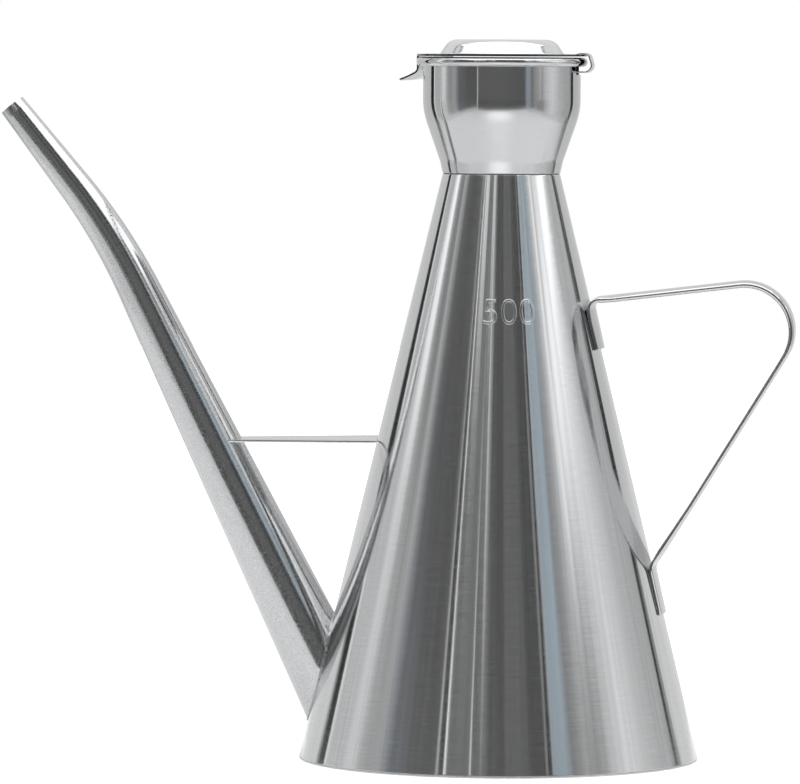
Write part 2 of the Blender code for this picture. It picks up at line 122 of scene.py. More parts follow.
class CruetSizes(bpy.types.PropertyGroup):
    """The sizes of the cruet's sheet, tube and strip"""

    sheet: FloatProperty(
        name="Body Sheet", description="Thickness of the cone, cup and base",
        default=0.6 * MM, min=0.2 * MM, unit="LENGTH")
    neck_radius: FloatProperty(
        name="Neck Radius", description="Outer radius of the seam between cone and cup",
        default=14.72 * MM, min=5 * MM, unit="LENGTH")
    cup_radius: FloatProperty(
        name="Cup Radius", description="Outer radius of the cup's straight wall",
        default=19.7 * MM, min=8 * MM, unit="LENGTH")
    curl_radius: FloatProperty(
        name="Curl Radius", description="Radius of the curled rim, to the middle of the sheet",
        default=0.85 * MM, min=0.4 * MM, unit="LENGTH")
    lid_sheet: FloatProperty(
        name="Lid Sheet", description="Thickness of the lid",
        default=0.5 * MM, min=0.2 * MM, unit="LENGTH")
    dome_height: FloatProperty(
        name="Dome Height", description="Rise of the lid's pressed dome above its flange",
        default=3.6 * MM, min=0, unit="LENGTH")
    tab_width: FloatProperty(
        name="Tab Width", description="Width of the lid's thumb tab",
        default=14 * MM, min=2 * MM, unit="LENGTH")
    tongue_width: FloatProperty(
        name="Tongue Width", description="Width of the hinge tongue",
        default=10 * MM, min=2 * MM, unit="LENGTH")
    tip_radius: FloatProperty(
        name="Spout Tip Radius", description="Outer radius of the spout at its tip",
        default=3.35 * MM, min=1.5 * MM, unit="LENGTH")
    root_radius: FloatProperty(
        name="Spout Root Radius", description="Outer radius of the spout where it meets the cone",
        default=9 * MM, min=3 * MM, unit="LENGTH")
    strip_width: FloatProperty(
        name="Handle Width", description="Width of the handle's strip",
        default=15 * MM, min=4 * MM, unit="LENGTH")
    strip_sheet: FloatProperty(
        name="Handle Sheet", description="Thickness of the handle's strip",
        default=0.8 * MM, min=0.3 * MM, unit="LENGTH")
    bead_radius: FloatProperty(
        name="Weld Radius", description="Radius of the weld bead round the spout's root",
        default=0.32 * MM, min=0.1 * MM, unit="LENGTH")
    mark_height: FloatProperty(
        name="Mark Height", description="Height of the raised capacity mark's digits",
        default=6.4 * MM, min=2 * MM, unit="LENGTH")
    mark: StringProperty(
        name="Capacity Mark", description="Plain digits raised on the cone, in millilitres",
        default="500")


class CruetColours(bpy.types.PropertyGroup):
    """The colours of the steel and of the floor"""

    steel: FloatVectorProperty(
        name="Steel", description="Colour of the bare stainless steel",
        subtype="COLOR", size=3, min=0, max=1, default=linear("D4D5D6")[:3])
    floor: FloatVectorProperty(
        name="Floor", description="Colour of the pale floor",
        subtype="COLOR", size=3, min=0, max=1, default=linear("F3F3F3")[:3])


def sizes():
    return bpy.context.scene.cruet_sizes


def colours():
    return bpy.context.scene.cruet_colours


# Outlines

def cone_radius(z):
    """The cone's outer radius at a height."""
    slope = (BASE_RADIUS - sizes().neck_radius) / (CONE_TOP_Z - CONE_FOOT_Z)
    return BASE_RADIUS - slope * (z - CONE_FOOT_Z)


def cone_lean():
    return math.atan((BASE_RADIUS - sizes().neck_radius) / (CONE_TOP_Z - CONE_FOOT_Z))


def share_between(low, high, value):
    """How far a value has come from low to high, from 0 to 1."""
    return max(0, min(1, (value - low) / (high - low)))


def mix(start, end, share):
    return start + (end - start) * share


def rounded_path(corners, radii, steps):
    """A path through 2D corners, each inner one rounded by its own radius."""
    points = [Vector(corners[0])]
    for i, radius in enumerate(radii, start=1):
        before, corner, after = (Vector(c) for c in corners[i - 1:i + 2])
        room = 0.98 * min(
            (before - corner).length / (1 if i == 1 else 2),
            (after - corner).length / (1 if i == len(radii) else 2))
        to_before = (before - corner).normalized()
        to_after = (after - corner).normalized()
        half = math.acos(max(-1, min(1, to_before.dot(to_after)))) / 2
        radius = min(radius, room * math.tan(half))
        centre = corner + (to_before + to_after).normalized() * (radius / math.sin(half))
        arm = corner + to_before * (radius / math.tan(half)) - centre
        turn = math.pi - 2 * half
        if to_before.x * to_after.y - to_before.y * to_after.x < 0:
            turn = -turn
        for step in range(steps + 1):
            c, s = math.cos(-turn * step / steps), math.sin(-turn * step / steps)
            points.append(centre + Vector((arm.x * c - arm.y * s, arm.x * s + arm.y * c)))
    return points + [Vector(corners[-1])]


def held(points):
    """The same path with a point near both ends of each long run, which keeps it straight."""
    result = [points[0]]
    for start, end in zip(points, points[1:]):
        length = (end - start).length
        if length > 4 * HOLD:
            result += [start.lerp(end, HOLD / length), start.lerp(end, 1 - HOLD / length)]
        result.append(end)
    return result


def split_runs(points, longest):
    """The same path with its long straight runs cut into even pieces."""
    result = [points[0]]
    for start, end in zip(points, points[1:]):
        pieces = max(1, math.ceil((end - start).length / longest))
        result += [start.lerp(end, i / pieces) for i in range(1, pieces + 1)]
    return result


def path_angles(points):
    """The direction of a path at each of its points."""
    angles = []
    for i in range(len(points)):
        along = points[min(i + 1, len(points) - 1)] - points[max(i - 1, 0)]
        angles.append(math.atan2(along.y, along.x))
    return angles


# Drawing with the edit mode's own tools

def start_drawing(name):
    """A new mesh with one vertex at the origin, selected, in edit mode."""
    bpy.ops.object.select_all(action="DESELECT")
    bpy.ops.mesh.primitive_plane_add(size=MM)
    obj = bpy.context.object
    obj.name = obj.data.name = name
    bpy.ops.object.mode_set(mode="EDIT")
    bpy.ops.mesh.select_mode(type="VERT")
    bpy.ops.mesh.merge(type="CENTER")
    return obj


def start_ring(name, radius, sides):
    """A new mesh with one upright ring round the X axis, selected, in edit mode."""
    bpy.ops.object.select_all(action="DESELECT")
    bpy.ops.mesh.primitive_circle_add(
        vertices=sides, radius=radius, rotation=(0, math.pi / 2, 0))
    obj = bpy.context.object
    obj.name = obj.data.name = name
    bpy.ops.object.transform_apply(rotation=True)
    bpy.ops.object.mode_set(mode="EDIT")
    bpy.ops.mesh.select_mode(type="VERT")
    bpy.ops.mesh.select_all(action="SELECT")
    return obj


def end_drawing(obj):
    """Closes doubled seams, turns the faces outwards and leaves edit mode."""
    bpy.ops.mesh.select_all(action="SELECT")
    bpy.ops.mesh.remove_doubles(threshold=WELD)
    bpy.ops.mesh.normals_make_consistent(inside=False)
    bpy.ops.mesh.select_all(action="DESELECT")
    bpy.ops.object.mode_set(mode="OBJECT")
    return obj


def extrude(x, y, z):
    bpy.ops.mesh.extrude_region_move(TRANSFORM_OT_translate={"value": (x, y, z)})


def turned(name, outline):
    """An outline of (radius, height) points, drawn one by one and spun about the Z axis."""
    obj = start_drawing(name)
    bpy.ops.transform.translate(value=(outline[0].x, 0, outline[0].y))
    for before, after in zip(outline, outline[1:]):
        extrude(after.x - before.x, 0, after.y - before.y)
    bpy.ops.mesh.select_all(action="SELECT")
    bpy.ops.mesh.spin(steps=TURNS, angle=math.tau, center=(0, 0, 0), axis=(0, 0, 1))
    return end_drawing(obj)


def straight_row(width):
    """Draws a straight row along Y, from the one vertex."""
    bpy.ops.transform.translate(value=(0, -width / 2, 0))
    extrude(0, width, 0)
    bpy.ops.mesh.select_all(action="SELECT")


def bowed_row(width, bow, cuts):
    """Draws a row along Y as an arc that is bow high in its middle, from the one vertex."""
    radius = (bow * bow + width * width / 4) / (2 * abs(bow))
    half = math.asin(min(1, width / 2 / radius))
    side = math.copysign(1, bow)
    bpy.ops.transform.translate(value=(0, -width / 2, -bow))
    centre = (0, 0, -side * radius)
    bpy.ops.mesh.spin(steps=cuts, angle=2 * half, center=centre, axis=(side, 0, 0))
    bpy.ops.mesh.select_all(action="SELECT")


def sweep(path, widths, bows):
    """Extrudes the selected row, drawn for an X direction at the origin, along an XZ path.

    Each step may scale the row's width along Y and its bow along the path's normal.
    """
    angles = path_angles(path)
    place = (path[0].x, 0, path[0].y)
    bpy.ops.transform.rotate(value=angles[0], orient_axis="Y", center_override=(0, 0, 0))
    bpy.ops.transform.translate(value=place)
    for i in range(1, len(path)):
        move = path[i] - path[i - 1]
        extrude(move.x, 0, move.y)
        place = (path[i].x, 0, path[i].y)
        bpy.ops.transform.rotate(value=-angles[i - 1], orient_axis="Y", center_override=place)
        scale = (1, widths[i] / widths[i - 1], bows[i] / bows[i - 1])
        bpy.ops.transform.resize(value=scale, center_override=place)
        bpy.ops.transform.rotate(value=angles[i], orient_axis="Y", center_override=place)


def select_only(*objs):
    """Selects these objects alone and makes the first one active."""
    bpy.ops.object.select_all(action="DESELECT")
    for obj in objs:
        obj.select_set(True)
    bpy.context.view_layer.objects.active = objs[0]


def apply_modifier(obj, kind, **settings):
    """Adds a modifier with its settings and applies it at once."""
    select_only(obj)
    bpy.ops.object.modifier_add(type=kind)
    modifier = obj.modifiers[-1]
    for name, value in settings.items():
        setattr(modifier, name, value)
    bpy.ops.object.modifier_apply(modifier=modifier.name)


def thicken(obj, thickness):
    apply_modifier(obj, "SOLIDIFY", thickness=thickness, offset=0, use_even_offset=True)


def round_edges(obj, width, segments=3, angle=50):
    apply_modifier(
        obj, "BEVEL", width=width, segments=segments, limit_method="ANGLE",
        angle_limit=math.radians(angle), use_clamp_overlap=True)


def cut(obj, tool):
    apply_modifier(obj, "BOOLEAN", operation="DIFFERENCE", solver="EXACT", object=tool)


def discard(*tools):
    for tool in tools:
        bpy.data.objects.remove(tool)


def joined(name, *objs):
    """The pieces as one object."""
    select_only(*objs)
    bpy.ops.object.join()
    objs[0].name = objs[0].data.name = name
    return objs[0]


def finish_piece(obj, material, body, node=None, smooth=40):
    """Shades a piece, gives it its steel and puts it on its body in its node's place."""
    select_only(obj)
    bpy.ops.object.transform_apply(location=True, rotation=True, scale=True)
    bpy.ops.object.shade_smooth_by_angle(angle=math.radians(smooth))
    obj.data.materials.clear()
    obj.data.materials.append(material)
    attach(obj, body)
    if node:
        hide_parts(node)
    return obj


# Materials

def add_node(tree, kind, values=None, links=None, **settings):
    """Adds a node with its settings, its sockets' values and its links.

    A link comes from a socket, or from the first one of a node.
    """
    made = tree.nodes.new(kind)
    for name, value in settings.items():
        setattr(made, name, value)
    for socket, value in (values or {}).items():
        made.inputs[socket].default_value = value
    for socket, source in (links or {}).items():
        if isinstance(source, bpy.types.Node):
            source = source.outputs[0]
        tree.links.new(source, made.inputs[socket])
    return made


def new_material(name):
    material = bpy.data.materials.new(name)
    material.use_nodes = True
    tree = material.node_tree
    tree.nodes.clear()
    output = tree.nodes.new("ShaderNodeOutputMaterial")
    return material, tree, output


# Most of a noise pattern lies between these two
NOISE = {"From Min": 0.3, "From Max": 0.7}


def add_steel(tree, output, shade, rough, normal, values=None, links=None):
    """Adds bare metal, in the steel's colour times a shade."""
    colour = add_node(
        tree, "ShaderNodeVectorMath", operation="SCALE",
        values={0: tuple(colours().steel)}, links={"Scale": shade})
    surface = add_node(
        tree, "ShaderNodeBsdfPrincipled", values={"Metallic": 1.0, **(values or {})},
        links={"Base Color": colour, "Roughness": rough, "Normal": normal, **(links or {})})
    tree.links.new(surface.outputs[0], output.inputs[0])


def brushed_round(name, roughness, depth, streak, shine=1.0):
    """Stainless steel sheet, brushed round the axis: fine lines run round the piece.

    The lines spread a reflection along the height and keep it sharp across, which
    gives a cone its long crisp bands.
    """
    material, tree, output = new_material(name)
    place = add_node(tree, "ShaderNodeTexCoord").outputs["Object"]
    split = add_node(tree, "ShaderNodeSeparateXYZ", links={0: place})
    angle = add_node(
        tree, "ShaderNodeMath", operation="ARCTAN2",
        links={0: split.outputs["Y"], 1: split.outputs["X"]})
    turn_and_height = add_node(
        tree, "ShaderNodeCombineXYZ", links={0: angle, 1: split.outputs["Z"]})
    # Brush lines 0.3 mm apart up the piece and about 6 mm long, as real grit is too fine to
    # show, and rolling streaks 1 mm wide that run up the piece
    patterns = []
    for scale, detail, fine in (((6, 3.3 / MM, 0), 3.0, 0.6), ((34, 9, 0), 4.0, 0.65)):
        scaled = add_node(
            tree, "ShaderNodeVectorMath", operation="MULTIPLY",
            values={1: scale}, links={0: turn_and_height})
        patterns.append(add_node(
            tree, "ShaderNodeTexNoise", noise_dimensions="2D",
            values={"Scale": 1.0, "Detail": detail, "Roughness": fine}, links={"Vector": scaled}))
    lines, streaks = patterns
    rough, shade, scratches = (
        add_node(
            tree, "ShaderNodeMapRange", values={**NOISE, "To Min": low, "To Max": high},
            links={"Value": pattern})
        for pattern, low, high in (
            (lines, roughness * 0.85, roughness * 1.15),
            (streaks, shine * (1 - streak), shine * (1 + streak)),
            (lines, 0.97, 1.03)))
    both = add_node(tree, "ShaderNodeMath", operation="MULTIPLY", links={0: shade, 1: scratches})
    # Rolled sheet is never quite even: waves 25 mm wide bend the long reflections a little
    waves_at = add_node(
        tree, "ShaderNodeMapping", values={"Scale": (40, 40, 16)}, links={"Vector": place})
    waves = add_node(
        tree, "ShaderNodeTexNoise", values={"Scale": 1.0, "Detail": 1.0},
        links={"Vector": waves_at})
    wavy = add_node(
        tree, "ShaderNodeBump", values={"Strength": 1.0, "Distance": 10e-6},
        links={"Height": waves})
    bump = add_node(
        tree, "ShaderNodeBump", values={"Strength": 1.0, "Distance": depth},
        links={"Height": lines, "Normal": wavy})
    tangent = add_node(tree, "ShaderNodeTangent", direction_type="RADIAL", axis="Z")
    add_steel(
        tree, output, both, rough, bump,
        {"Anisotropic": 1.0, "Anisotropic Rotation": 0.25}, {"Tangent": tangent})
    return material


def grained(name, roughness, depth, scale, speckle=0.0, shine=1.0):
    """Stainless steel with an even grain, as drawn tube, strip and pressed sheet have.

    The grain, with its number of grains per metre, softens a reflection evenly.  It is
    drawn about 0.4 mm wide, because the real one is too fine to show.  Speckle makes
    the grains unlike each other, as blasting after welding does.
    """
    material, tree, output = new_material(name)
    place = add_node(tree, "ShaderNodeTexCoord").outputs["Object"]
    grain = add_node(
        tree, "ShaderNodeTexNoise",
        values={"Scale": scale, "Detail": 2.0, "Roughness": 0.65}, links={"Vector": place})
    rough, shade = (
        add_node(
            tree, "ShaderNodeMapRange", values={**NOISE, "To Min": low, "To Max": high},
            links={"Value": grain})
        for low, high in (
            (roughness * (0.7 - 2 * speckle), roughness * (1.3 + 4 * speckle)),
            (shine * (1 - speckle), shine * (1 + speckle))))
    bump = add_node(
        tree, "ShaderNodeBump", values={"Strength": 1.0, "Distance": depth},
        links={"Height": grain})
    add_steel(tree, output, shade, rough, bump)
    return material


def mark_shaded_edges(obj, is_shaded_edge):
    """Marks the cut edge faces on which shade is painted."""
    marks = obj.data.attributes.new("painted_edge_shade", "FLOAT", "FACE")
    for face in obj.data.polygons:
        marks.data[face.index].value = float(is_shaded_edge(face))


def paint_edge_shade(material):
    """Paints shade on the faces that are marked so: a dark grey for the shade seen along the lid's
    cut edges.
    """
    tree = material.node_tree
    surface = next(node for node in tree.nodes if node.type == "BSDF_PRINCIPLED")
    colour = surface.inputs["Base Color"].links[0].from_socket
    marks = add_node(tree, "ShaderNodeAttribute", attribute_name="painted_edge_shade")
    # A dark grey mixed in on the marked faces: painted shade
    dark = add_node(
        tree, "ShaderNodeMix", data_type="RGBA", values={7: linear("59595B")},
        links={0: marks.outputs["Fac"], 6: colour})
    tree.links.new(dark.outputs[2], surface.inputs["Base Color"])


# The brightest level that a panel's ramps can hold
BRIGHTEST = 2.2


def even(level):
    """Stops of one level across a whole panel."""
    return [(0, level), (1, level)]


def glowing(name, low, high=None, rise=(0.0, 1.0)):
    """Tent cloth or a dark room seen as light: greys across a panel, low ones and high ones.

    Each stop is a share of the panel's width and a level, where 1 is white, or the hex
    code of a tint.  The low ramp turns into the high one between two shares of the
    panel's height.
    """
    material, tree, output = new_material(name)
    place = add_node(tree, "ShaderNodeTexCoord").outputs["Object"]
    split = add_node(tree, "ShaderNodeSeparateXYZ", links={0: place})
    along = add_node(
        tree, "ShaderNodeMath", operation="ADD", values={1: 0.5}, links={0: split.outputs["X"]})
    ramps = []
    for stops in (low, high or low):
        ramp = add_node(tree, "ShaderNodeValToRGB", links={0: along})
        elements = ramp.color_ramp.elements
        for position, level in stops[2:]:
            elements.new(1.0)
        for element, (position, level) in zip(elements, stops):
            colour = linear(level)[:3] if isinstance(level, str) else (level, level, level)
            element.position = position
            element.color = (*(part / BRIGHTEST for part in colour), 1)
        ramps.append(ramp)
    up = add_node(
        tree, "ShaderNodeMapRange", interpolation_type="SMOOTHSTEP",
        values={"From Min": rise[0] - 0.5, "From Max": rise[1] - 0.5},
        links={"Value": split.outputs["Y"]})
    both = add_node(
        tree, "ShaderNodeMix", data_type="RGBA", links={0: up, 6: ramps[0], 7: ramps[1]})
    glow = add_node(
        tree, "ShaderNodeEmission", values={"Strength": BRIGHTEST},
        links={"Color": both.outputs[2]})
    tree.links.new(glow.outputs[0], output.inputs[0])
    return material


# The cruet's pieces

class CRUET_OT_base(bpy.types.Operator):
    """Add the flat disc that closes the cone"""

    bl_idname = "cruet.add_base"
    bl_label = "Base Disc"

    def execute(self, context):
        edge = BASE_RADIUS - 0.05 * MM
        top = CONE_FOOT_Z - 0.48 * MM
        corners = [(0, top), (edge, top), (edge, 0), (0, 0)]
        outline = rounded_path(corners, (0.08 * MM, 0.12 * MM), 4)
        disc = turned("base", held(outline))
        # Left as it was rolled: an even, matt grey rim
        steel = grained("Stainless steel sheet", 0.3, 2e-6, 2.5 / MM)
        finish_piece(disc, steel, "vessel", "base_disc")
        return {"FINISHED"}


class CRUET_OT_cone(bpy.types.Operator):
    """Add the rolled cone"""

    bl_idname = "cruet.add_cone"
    bl_label = "Cone"

    def execute(self, context):
        wall = sizes().sheet / math.cos(cone_lean())
        foot, top = CONE_FOOT_Z - 0.45 * MM, CONE_TOP_Z + 0.1 * MM
        inner_foot, inner_top = cone_radius(foot) - wall, cone_radius(top) - wall
        # The outline starts and ends half way up the inside, away from its corners
        start = (mix(inner_top, inner_foot, 0.5), mix(top, foot, 0.5))
        corners = [
            start, (inner_top, top), (cone_radius(top), top),
            (min(cone_radius(foot), BASE_RADIUS), foot), (inner_foot, foot), start]
        rounds = (0.1 * MM, 0.08 * MM, 0.1 * MM, 0.1 * MM)
        outline = rounded_path(corners, rounds, 4)
        cone = turned("cone", held(outline))
        bore = spout_tube("bore", -sizes().sheet, 4 * MM)
        cut(cone, bore)
        discard(bore)
        # Brushed as it was rolled: long crisp bands with faint streaks up the cone
        steel = brushed_round("Brushed stainless steel, cone", 0.12, 1.1e-6, 0.06)
        finish_piece(cone, steel, "vessel", "body_cone")
        return {"FINISHED"}


class CRUET_OT_seam(bpy.types.Operator):
    """Add the dark weld line behind the gap between cone and cup"""

    bl_idname = "cruet.add_seam"
    bl_label = "Neck Seam"

    def execute(self, context):
        outer = sizes().neck_radius - 0.25 * MM
        inner = outer - 0.3 * MM
        low, high = CONE_TOP_Z - 0.3 * MM, CUP_FOOT_Z + 0.3 * MM
        corners = [(inner, low), (outer, low), (outer, high), (inner, high), (inner, low)]
        ring = turned("neck_seam", [Vector(corner) for corner in corners])
        # Stained by the weld's heat: a dark, dull line
        steel = grained("Weld-stained steel", 0.5, 4e-6, 2.5 / MM, 0.0, 0.25)
        finish_piece(ring, steel, "vessel")
        return {"FINISHED"}


class CRUET_OT_cup(bpy.types.Operator):
    """Add the pressed cup with its curled rim and the hinge slot"""

    bl_idname = "cruet.add_cup"
    bl_label = "Mouth Cup"

    def execute(self, context):
        size = sizes()
        rim = HINGE.z
        wall = size.cup_radius - size.sheet / 2
        neck = size.neck_radius - size.sheet / 2
        foot = CUP_FOOT_Z + 0.12 * MM
        flare = CUP_FOOT_Z + 3.05 * MM
        corners = [
            (wall, rim), (wall, flare + 12.45 * MM), (neck + 0.64 * MM, flare), (neck, foot)]
        # The rim is curled outwards, three quarters of the way round
        curl = []
        steps = 40
        for i in range(steps):
            angle = math.pi - math.radians(275) * (1 - i / steps)
            across = HINGE.x + size.curl_radius * math.cos(angle)
            curl.append(Vector((across, rim + size.curl_radius * math.sin(angle))))
        outline = curl + rounded_path(corners, (17.5 * MM, 10 * MM), 18)
        cup = turned("cup", held(outline))
        thicken(cup, size.sheet)
        round_edges(cup, 0.08 * MM)
        top = rim - size.curl_radius - size.sheet / 2
        bottom = rim - 3.12 * MM
        bpy.ops.mesh.primitive_cube_add(size=1, location=(wall, 0, (top + bottom) / 2))
        slot = bpy.context.object
        slot.scale = (4 * MM, size.tongue_width + 0.8 * MM, top - bottom)
        cut(cup, slot)
        discard(slot)
        # Brushed on the lathe after pressing: finer than the cone, and painted a little darker as
        # shade, since the cup's wall reflects less light from above than the cone does
        steel = brushed_round("Brushed stainless steel, cup", 0.09, 1e-6, 0.01, 0.87)
        finish_piece(cup, steel, "vessel", "mouth_cup")
        return {"FINISHED"}


class CRUET_OT_lid(bpy.types.Operator):
    """Add the lid: flange, dome, thumb tab and hinge tongue"""

    bl_idname = "cruet.add_lid"
    bl_label = "Lid"

    def execute(self, context):
        size = sizes()
        bead = size.curl_radius + size.sheet / 2
        flange_z = HINGE.z + bead + GAP + size.lid_sheet / 2
        flange_radius = HINGE.x + bead - 0.1 * MM
        dome_z = flange_z + size.dome_height
        corners = [
            (0, dome_z + 0.1 * MM), (13 * MM, dome_z), (15.4 * MM, flange_z),
            (flange_radius, flange_z)]
        disc = turned("disc", held(rounded_path(corners, (3.4 * MM, 0.8 * MM), 16)))
        thicken(disc, size.lid_sheet)
        round_edges(disc, 0.07 * MM)
        # The flange's cut edge gets painted shade
        mark_shaded_edges(disc, lambda face: face.normal.z < 0.5 and
                     math.hypot(face.center.x, face.center.y) > flange_radius - 0.08 * MM)
        tab_stand = HINGE.x + bead + GAP + 1.13 * MM
        tab = self.draw_tab(flange_z, flange_radius, tab_stand)
        tongue = self.draw_tongue(flange_z, bead)
        lid = joined("lid_dome", disc, tab, tongue)
        # Polished after pressing: clear reflections on the dome; the cut edges get painted shade,
        # a dull dark grey
        steel = grained("Polished stainless steel", 0.12, 1e-6, 2.5 / MM)
        paint_edge_shade(steel)
        finish_piece(lid, steel, "lid", "lid")
        return {"FINISHED"}

    def draw_tab(self, flange_z, flange_radius, stand):
        """The curved lip over the rim's front, narrowing as it flares outwards."""
        bend, tip = flange_z - 4 * MM, flange_z - 6.2 * MM
        corners = [
            (flange_radius - 1.5 * MM, flange_z), (stand, flange_z), (stand, bend),
            (stand + 3.6 * MM, tip)]
        path = split_runs(rounded_path(corners, (0.6 * MM, 1.5 * MM), 8), 0.35 * MM)
        half = sizes().tab_width / 2 / stand
        tab = start_drawing("tab")
        start = path[0]
        bpy.ops.transform.translate(
            value=(-start.x * math.cos(half), start.x * math.sin(half), start.y))
        bpy.ops.mesh.spin(steps=24, angle=2 * half, center=(0, 0, 0), axis=(0, 0, 1))
        bpy.ops.mesh.select_all(action="SELECT")
        width = 1.0
        for before, after in zip(path, path[1:]):
            extrude(0, 0, after.y - before.y)
            grow = after.x / before.x
            bpy.ops.transform.resize(value=(grow, grow, 1), center_override=(0, 0, after.y))
            flare = 0.85 * share_between(bend, tip, after.y)
            narrow = math.sqrt(1 - flare * flare) / width
            width *= narrow
            crest = (-after.x, 0, after.y)
            bpy.ops.transform.resize(value=(narrow * narrow, narrow, 1), center_override=crest)
        end_drawing(tab)
        thicken(tab, 0.46 * MM)
        round_edges(tab, 0.07 * MM)
        # The tab's cut sides get painted shade
        mark_shaded_edges(tab, lambda face: abs(face.normal.y) > 0.6)
        return tab

    def draw_tongue(self, flange_z, bead):
        """The strip over the rim, loosely round it and into the slot."""
        loop = bead + 1.31 * MM
        top = flange_z - HINGE.z
        hump = top + 0.45 * MM
        corners = [
            (-4.2 * MM, top), (-2.2 * MM, top), (-0.45 * MM, hump), (loop - 0.8 * MM, hump),
            (loop + 0.6 * MM, -loop), (-bead - 0.35 * MM, -loop)]
        corners = [(x + HINGE.x, z + HINGE.z) for x, z in corners]
        radii = (1.5 * MM, 1.5 * MM, 1.3 * MM, 1.75 * MM)
        path = split_runs(rounded_path(corners, radii, 10), 0.5 * MM)
        tongue = start_drawing("tongue")
        straight_row(sizes().tongue_width)
        unchanged = [1] * len(path)
        sweep(path, unchanged, unchanged)
        end_drawing(tongue)
        thicken(tongue, 0.42 * MM)
        round_edges(tongue, 0.12 * MM)
        return tongue


def spout_root():
    """Where the spout's axis meets the cone."""
    return Vector((-cone_radius(SPOUT_ROOT_Z), SPOUT_ROOT_Z))


def spout_radius(length, full):
    return mix(sizes().tip_radius, sizes().root_radius, length / full)


def spout_axis(before_tip, past_root):
    """Points of the spout's axis and the tube's outer radius at each."""
    root = spout_root()
    start = SPOUT_TIP + (SPOUT_TIP - SPOUT_BEND).normalized() * before_tip
    end = root + (root - SPOUT_BEND).normalized() * past_root
    path = split_runs(rounded_path([start, SPOUT_BEND, end], [SPOUT_BEND_RADIUS], 24), 3 * MM)
    lengths = [-before_tip]
    for before, after in zip(path, path[1:]):
        lengths.append(lengths[-1] + (after - before).length)
    full = lengths[-1] - past_root
    return path, [spout_radius(length, full) for length in lengths]


def run_in():
    """How far past the cone's face the spout's axis has its whole end inside."""
    root = spout_root()
    lean = math.atan2(root.x - SPOUT_BEND.x, SPOUT_BEND.y - root.y)
    return sizes().root_radius / math.tan(lean + cone_lean()) + 4 * MM


def spout_tube(name, offset, past):
    """A closed solid tube along the spout, grown or shrunk by an offset."""
    path, radii = spout_axis(past, run_in() + past)
    radii = [radius + offset for radius in radii]
    tube = start_ring(name, radii[0], 96)
    bpy.ops.mesh.edge_face_add()
    sweep(path, radii, radii)
    return end_drawing(tube)


def cone_solid(grown):
    """The cone as a solid, grown or shrunk, that trims what stands on it."""
    grown = grown / math.cos(cone_lean())
    top, bottom = CONE_TOP_Z, -4 * MM
    outline = [
        (0, top), (cone_radius(top) + grown, top), (cone_radius(bottom) + grown, bottom),
        (0, bottom)]
    return turned("cone_solid", [Vector(point) for point in outline])


class CRUET_OT_spout(bpy.types.Operator):
    """Add the tapered, bent spout"""

    bl_idname = "cruet.add_spout"
    bl_label = "Spout"

    def execute(self, context):
        spout = spout_tube("spout_tube", 0, 0)
        bore = spout_tube("bore", -sizes().sheet, 4 * MM)
        trim = cone_solid(0)
        cut(spout, bore)
        cut(spout, trim)
        discard(bore, trim)
        round_edges(spout, 0.15 * MM, 3, 60)
        # Blasted clean after welding: a fine sparkle over its long bands
        steel = grained("Blasted stainless steel tube", 0.1, 3e-6, 2.6 / MM, 0.17, 0.88)
        finish_piece(spout, steel, "vessel", "spout")
        return {"FINISHED"}


class CRUET_OT_brace(bpy.types.Operator):
    """Add the flat brace between spout and cone"""

    bl_idname = "cruet.add_brace"
    bl_label = "Brace"

    def execute(self, context):
        narrow, wide = BRACE_WIDTHS
        root = spout_root()
        start = SPOUT_BEND.lerp(root, share_between(SPOUT_BEND.y, root.y, BRACE_Z)).x
        length = wide / 2 - cone_radius(BRACE_Z) - start
        brace = start_drawing("brace")
        straight_row(narrow)
        bpy.ops.transform.rotate(value=-BRACE_TURN, orient_axis="X", center_override=(0, 0, 0))
        shares = [i / BRACE_STEPS for i in range(BRACE_STEPS + 1)]
        path = [Vector((start + length * share, BRACE_Z + BRACE_RISE * share)) for share in shares]
        widths = [mix(narrow, wide, share) for share in shares]
        sweep(path, widths, widths)
        end_drawing(brace)
        thicken(brace, sizes().sheet)
        tube, trim = spout_tube("tube", 0.05 * MM, 0), cone_solid(0.05 * MM)
        cut(brace, tube)
        cut(brace, trim)
        discard(tube, trim)
        round_edges(brace, 0.12 * MM, 2)
        # Drawn strip: a pale, even face
        steel = grained("Stainless steel strip", 0.2, 2e-6, 2.5 / MM, 0.0, 1.12)
        finish_piece(brace, steel, "vessel", "spout_brace")
        return {"FINISHED"}


def handle_corners():
    """The handle's corners in the XZ plane, on the middle of its strip.

    They are the upper foot's end and bend, the peak, and the lower foot's bend and end;
    those at the cone have a height and how far they stand off its face.
    """
    seat = GAP + sizes().strip_sheet / 2

    def on_cone(z, lift):
        return (cone_radius(z) + lift / math.cos(cone_lean()), z)

    return [
        on_cone(103.1 * MM, 0.27 * MM), on_cone(115.5 * MM, 0.45 * MM), HANDLE_PEAK,
        on_cone(48.7 * MM, seat - 0.1 * MM), on_cone(37.1 * MM, 0.42 * MM)]


def foot_bow(z, side):
    """How far a foot's side bends back round the cone at a height."""
    radius = cone_radius(z) + GAP + sizes().strip_sheet / 2
    return (radius - math.sqrt(radius * radius - side * side)) * math.cos(cone_lean())


